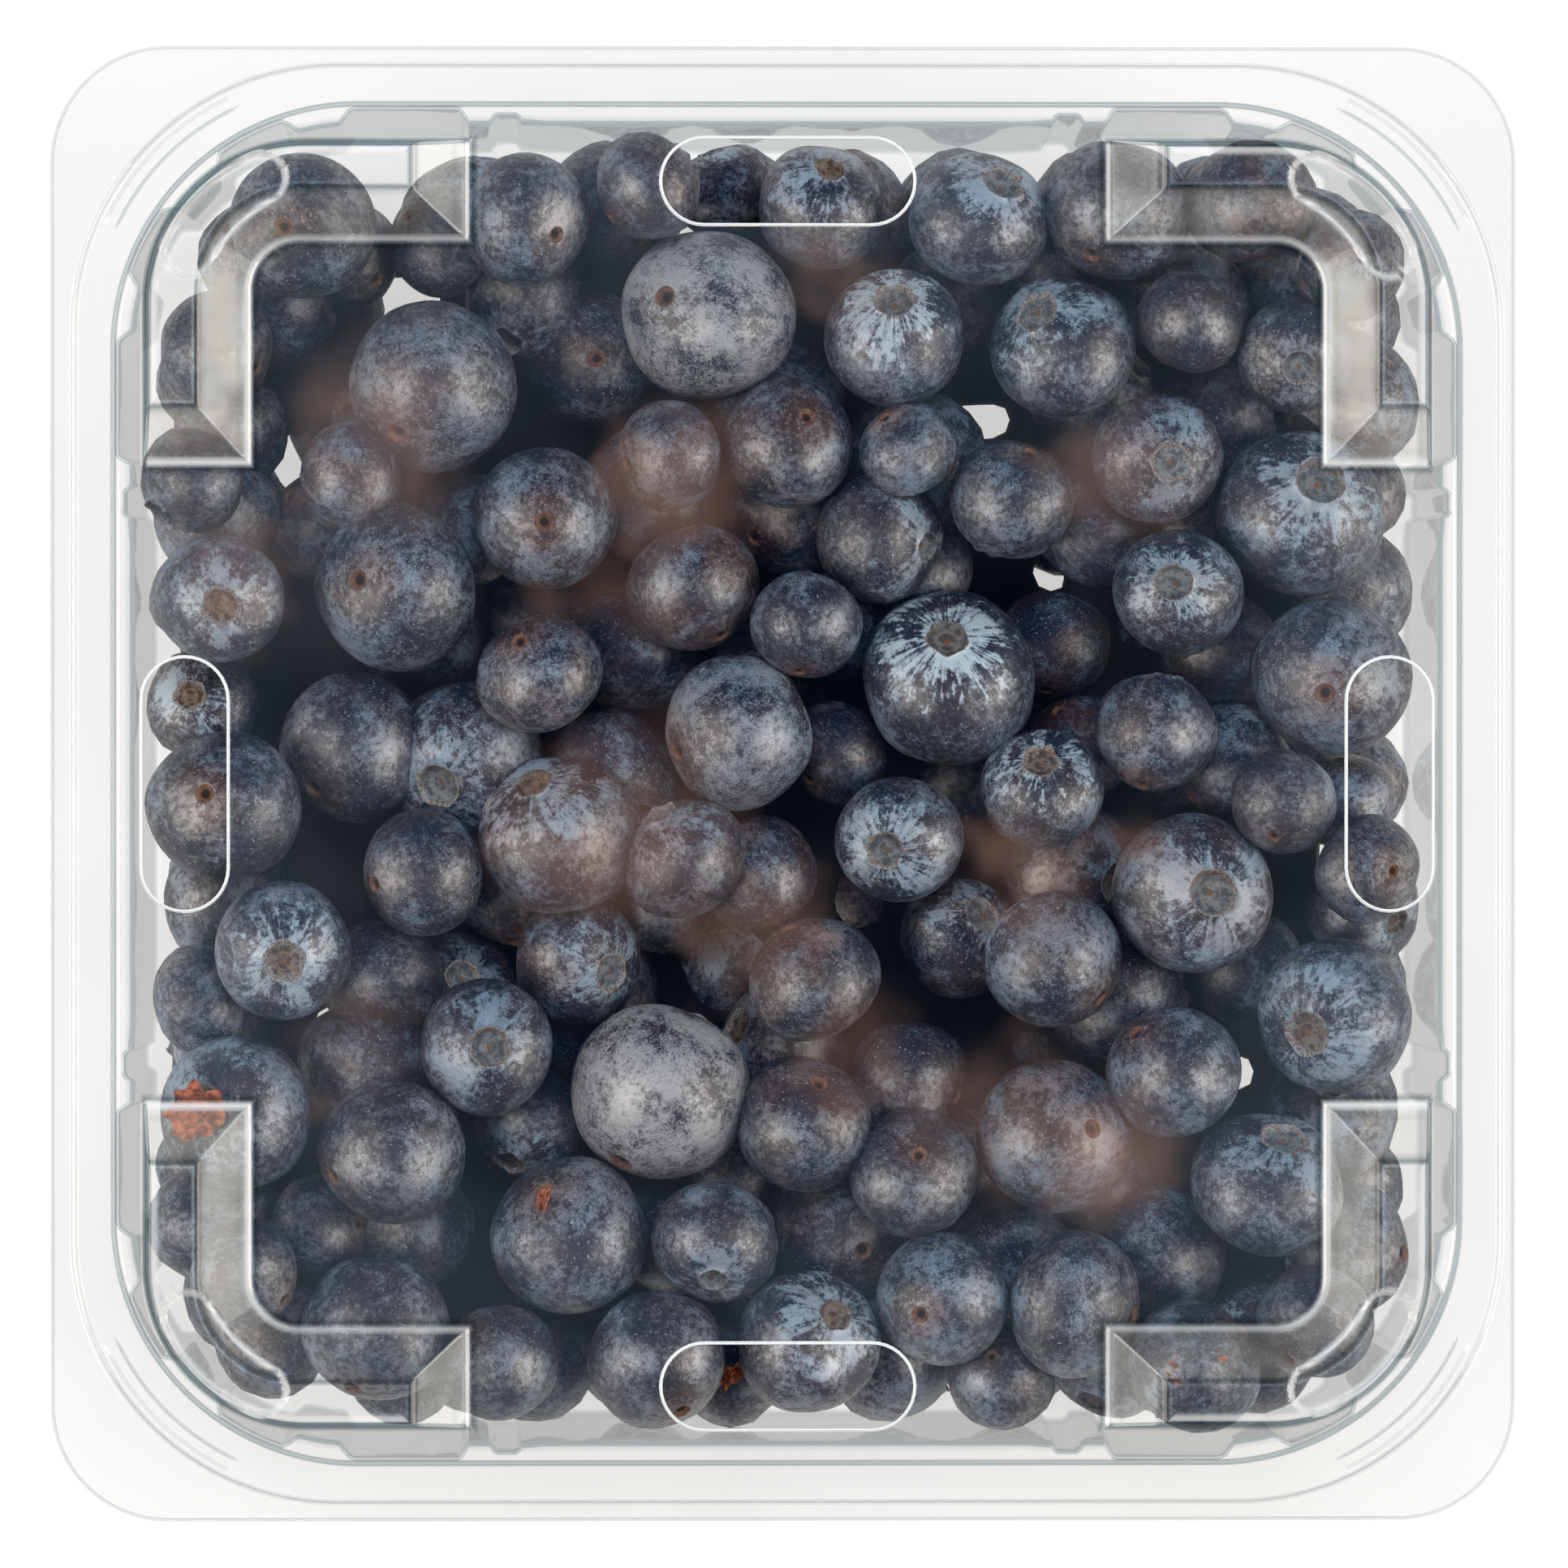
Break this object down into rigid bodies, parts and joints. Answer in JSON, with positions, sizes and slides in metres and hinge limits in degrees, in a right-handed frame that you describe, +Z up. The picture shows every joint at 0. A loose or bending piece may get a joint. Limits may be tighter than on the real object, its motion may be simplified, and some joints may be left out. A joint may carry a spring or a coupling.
{
  "type": "punnet of blueberries",
  "caption": "Shut square punnet of clear plastic, filled with blueberries, with a vented lid that has raised corner ridges.",
  "frame": {"origin": "middle of the punnet's outline over the flange, on the surface that its foot stands on", "axes": "+Z up through the lid, +X and +Y along the sides, with the flange 1 mm longer along Y"},
  "size_m": [0.15, 0.151, 0.0419],
  "materials": {
    "clear_tray": "clear thin formed plastic, glossy, with a faint blue-green edge",
    "clear_lid": "clear thin formed plastic, glossy, with a faint haze and fine scuffs",
    "blueberry_skin": "navy to slate fruit skin under a whitish wax bloom, satin, with rubbed brownish patches"
  },
  "bodies": {
    "root": {"tray": "clear_tray", "lid": "clear_lid", "berries": "blueberry_skin"}
  },
  "joints": []
}
